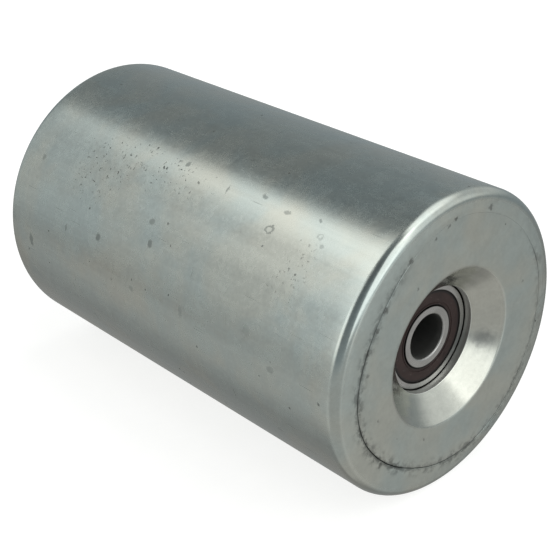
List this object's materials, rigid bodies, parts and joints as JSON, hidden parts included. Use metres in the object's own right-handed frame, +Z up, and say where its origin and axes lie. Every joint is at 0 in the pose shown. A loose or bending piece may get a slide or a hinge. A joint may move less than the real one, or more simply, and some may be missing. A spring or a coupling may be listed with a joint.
{
  "type": "track roller",
  "caption": "Plain zinc-plated steel track roller with rolled-in ends, turning on a sealed ball bearing set in a dish at either end.",
  "frame": {"origin": "the roller's centre, on its axis, half way between its two end faces", "axes": "+Y along the roller's axis towards its left end; +Z up; +X square to the axis"},
  "size_m": [0.133, 0.22, 0.133],
  "materials": {
    "zinc_shell": "satin zinc plating over rolled steel tube, with specks and stains",
    "zinc_housing": "satin zinc plating over pressed steel",
    "bearing_steel": "fine-ground bearing steel",
    "ball_steel": "polished bearing steel",
    "cage_steel": "pressed sheet steel",
    "seal_rubber": "matt dark brown nitrile rubber",
    "spacer_steel": "plain drawn steel tube"
  },
  "bodies": {
    "axle_core": {"spacer_tube": "spacer_steel", "bearing_inner_ring_right": "bearing_steel", "bearing_inner_ring_left": "bearing_steel"},
    "roller": {"shell": "zinc_shell", "end_housing_right": "zinc_housing", "end_housing_left": "zinc_housing", "bearing_outer_ring_right": "bearing_steel", "bearing_outer_ring_left": "bearing_steel", "seal_outer_right": "seal_rubber", "seal_inner_right": "seal_rubber", "seal_outer_left": "seal_rubber", "seal_inner_left": "seal_rubber", "seal_insert_outer_right": "cage_steel", "seal_insert_inner_right": "cage_steel", "seal_insert_outer_left": "cage_steel", "seal_insert_inner_left": "cage_steel"},
    "cage_right": {"cage_outer_half_right": "cage_steel", "cage_inner_half_right": "cage_steel", "cage_rivets_right": "cage_steel"},
    "cage_left": {"cage_outer_half_left": "cage_steel", "cage_inner_half_left": "cage_steel", "cage_rivets_left": "cage_steel"},
    "ball_right_1": {"ball_right_1": "ball_steel"},
    "ball_right_2": {"ball_right_2": "ball_steel"},
    "ball_right_3": {"ball_right_3": "ball_steel"},
    "ball_right_4": {"ball_right_4": "ball_steel"},
    "ball_right_5": {"ball_right_5": "ball_steel"},
    "ball_right_6": {"ball_right_6": "ball_steel"},
    "ball_right_7": {"ball_right_7": "ball_steel"},
    "ball_right_8": {"ball_right_8": "ball_steel"},
    "ball_left_1": {"ball_left_1": "ball_steel"},
    "ball_left_2": {"ball_left_2": "ball_steel"},
    "ball_left_3": {"ball_left_3": "ball_steel"},
    "ball_left_4": {"ball_left_4": "ball_steel"},
    "ball_left_5": {"ball_left_5": "ball_steel"},
    "ball_left_6": {"ball_left_6": "ball_steel"},
    "ball_left_7": {"ball_left_7": "ball_steel"},
    "ball_left_8": {"ball_left_8": "ball_steel"}
  },
  "joints": [
    {"name": "roller_spin", "type": "hinge", "parent": "axle_core", "child": "roller", "pos_m": [0, 0, 0], "axis": [0, 1, 0], "continuous": true},
    {"name": "cage_right_orbit", "type": "hinge", "parent": "axle_core", "child": "cage_right", "pos_m": [0, -0.0905, 0], "axis": [0, 1, 0], "continuous": true},
    {"name": "cage_left_orbit", "type": "hinge", "parent": "axle_core", "child": "cage_left", "pos_m": [0, 0.0905, 0], "axis": [0, 1, 0], "continuous": true},
    {"name": "ball_right_1_spin", "type": "hinge", "parent": "cage_right", "child": "ball_right_1", "pos_m": [0.01644, -0.0905, 0.0032], "axis": [0, 1, 0], "continuous": true},
    {"name": "ball_right_2_spin", "type": "hinge", "parent": "cage_right", "child": "ball_right_2", "pos_m": [0.00937, -0.0905, 0.01389], "axis": [0, 1, 0], "continuous": true},
    {"name": "ball_right_3_spin", "type": "hinge", "parent": "cage_right", "child": "ball_right_3", "pos_m": [-0.0032, -0.0905, 0.01644], "axis": [0, 1, 0], "continuous": true},
    {"name": "ball_right_4_spin", "type": "hinge", "parent": "cage_right", "child": "ball_right_4", "pos_m": [-0.01389, -0.0905, 0.00937], "axis": [0, 1, 0], "continuous": true},
    {"name": "ball_right_5_spin", "type": "hinge", "parent": "cage_right", "child": "ball_right_5", "pos_m": [-0.01644, -0.0905, -0.0032], "axis": [0, 1, 0], "continuous": true},
    {"name": "ball_right_6_spin", "type": "hinge", "parent": "cage_right", "child": "ball_right_6", "pos_m": [-0.00937, -0.0905, -0.01389], "axis": [0, 1, 0], "continuous": true},
    {"name": "ball_right_7_spin", "type": "hinge", "parent": "cage_right", "child": "ball_right_7", "pos_m": [0.0032, -0.0905, -0.01644], "axis": [0, 1, 0], "continuous": true},
    {"name": "ball_right_8_spin", "type": "hinge", "parent": "cage_right", "child": "ball_right_8", "pos_m": [0.01389, -0.0905, -0.00937], "axis": [0, 1, 0], "continuous": true},
    {"name": "ball_left_1_spin", "type": "hinge", "parent": "cage_left", "child": "ball_left_1", "pos_m": [0.01436, 0.0905, 0.00863], "axis": [0, 1, 0], "continuous": true},
    {"name": "ball_left_2_spin", "type": "hinge", "parent": "cage_left", "child": "ball_left_2", "pos_m": [0.00405, 0.0905, 0.01625], "axis": [0, 1, 0], "continuous": true},
    {"name": "ball_left_3_spin", "type": "hinge", "parent": "cage_left", "child": "ball_left_3", "pos_m": [-0.00863, 0.0905, 0.01436], "axis": [0, 1, 0], "continuous": true},
    {"name": "ball_left_4_spin", "type": "hinge", "parent": "cage_left", "child": "ball_left_4", "pos_m": [-0.01625, 0.0905, 0.00405], "axis": [0, 1, 0], "continuous": true},
    {"name": "ball_left_5_spin", "type": "hinge", "parent": "cage_left", "child": "ball_left_5", "pos_m": [-0.01436, 0.0905, -0.00863], "axis": [0, 1, 0], "continuous": true},
    {"name": "ball_left_6_spin", "type": "hinge", "parent": "cage_left", "child": "ball_left_6", "pos_m": [-0.00405, 0.0905, -0.01625], "axis": [0, 1, 0], "continuous": true},
    {"name": "ball_left_7_spin", "type": "hinge", "parent": "cage_left", "child": "ball_left_7", "pos_m": [0.00863, 0.0905, -0.01436], "axis": [0, 1, 0], "continuous": true},
    {"name": "ball_left_8_spin", "type": "hinge", "parent": "cage_left", "child": "ball_left_8", "pos_m": [0.01625, 0.0905, -0.00405], "axis": [0, 1, 0], "continuous": true}
  ],
  "couplings": [
    {"joint": "cage_right_orbit", "follows": "roller_spin", "ratio": 0.61848},
    {"joint": "cage_left_orbit", "follows": "roller_spin", "ratio": 0.61848},
    {"joint": "ball_right_1_spin", "follows": "roller_spin", "ratio": 1.9916},
    {"joint": "ball_right_2_spin", "follows": "roller_spin", "ratio": 1.9916},
    {"joint": "ball_right_3_spin", "follows": "roller_spin", "ratio": 1.9916},
    {"joint": "ball_right_4_spin", "follows": "roller_spin", "ratio": 1.9916},
    {"joint": "ball_right_5_spin", "follows": "roller_spin", "ratio": 1.9916},
    {"joint": "ball_right_6_spin", "follows": "roller_spin", "ratio": 1.9916},
    {"joint": "ball_right_7_spin", "follows": "roller_spin", "ratio": 1.9916},
    {"joint": "ball_right_8_spin", "follows": "roller_spin", "ratio": 1.9916},
    {"joint": "ball_left_1_spin", "follows": "roller_spin", "ratio": 1.9916},
    {"joint": "ball_left_2_spin", "follows": "roller_spin", "ratio": 1.9916},
    {"joint": "ball_left_3_spin", "follows": "roller_spin", "ratio": 1.9916},
    {"joint": "ball_left_4_spin", "follows": "roller_spin", "ratio": 1.9916},
    {"joint": "ball_left_5_spin", "follows": "roller_spin", "ratio": 1.9916},
    {"joint": "ball_left_6_spin", "follows": "roller_spin", "ratio": 1.9916},
    {"joint": "ball_left_7_spin", "follows": "roller_spin", "ratio": 1.9916},
    {"joint": "ball_left_8_spin", "follows": "roller_spin", "ratio": 1.9916}
  ]
}
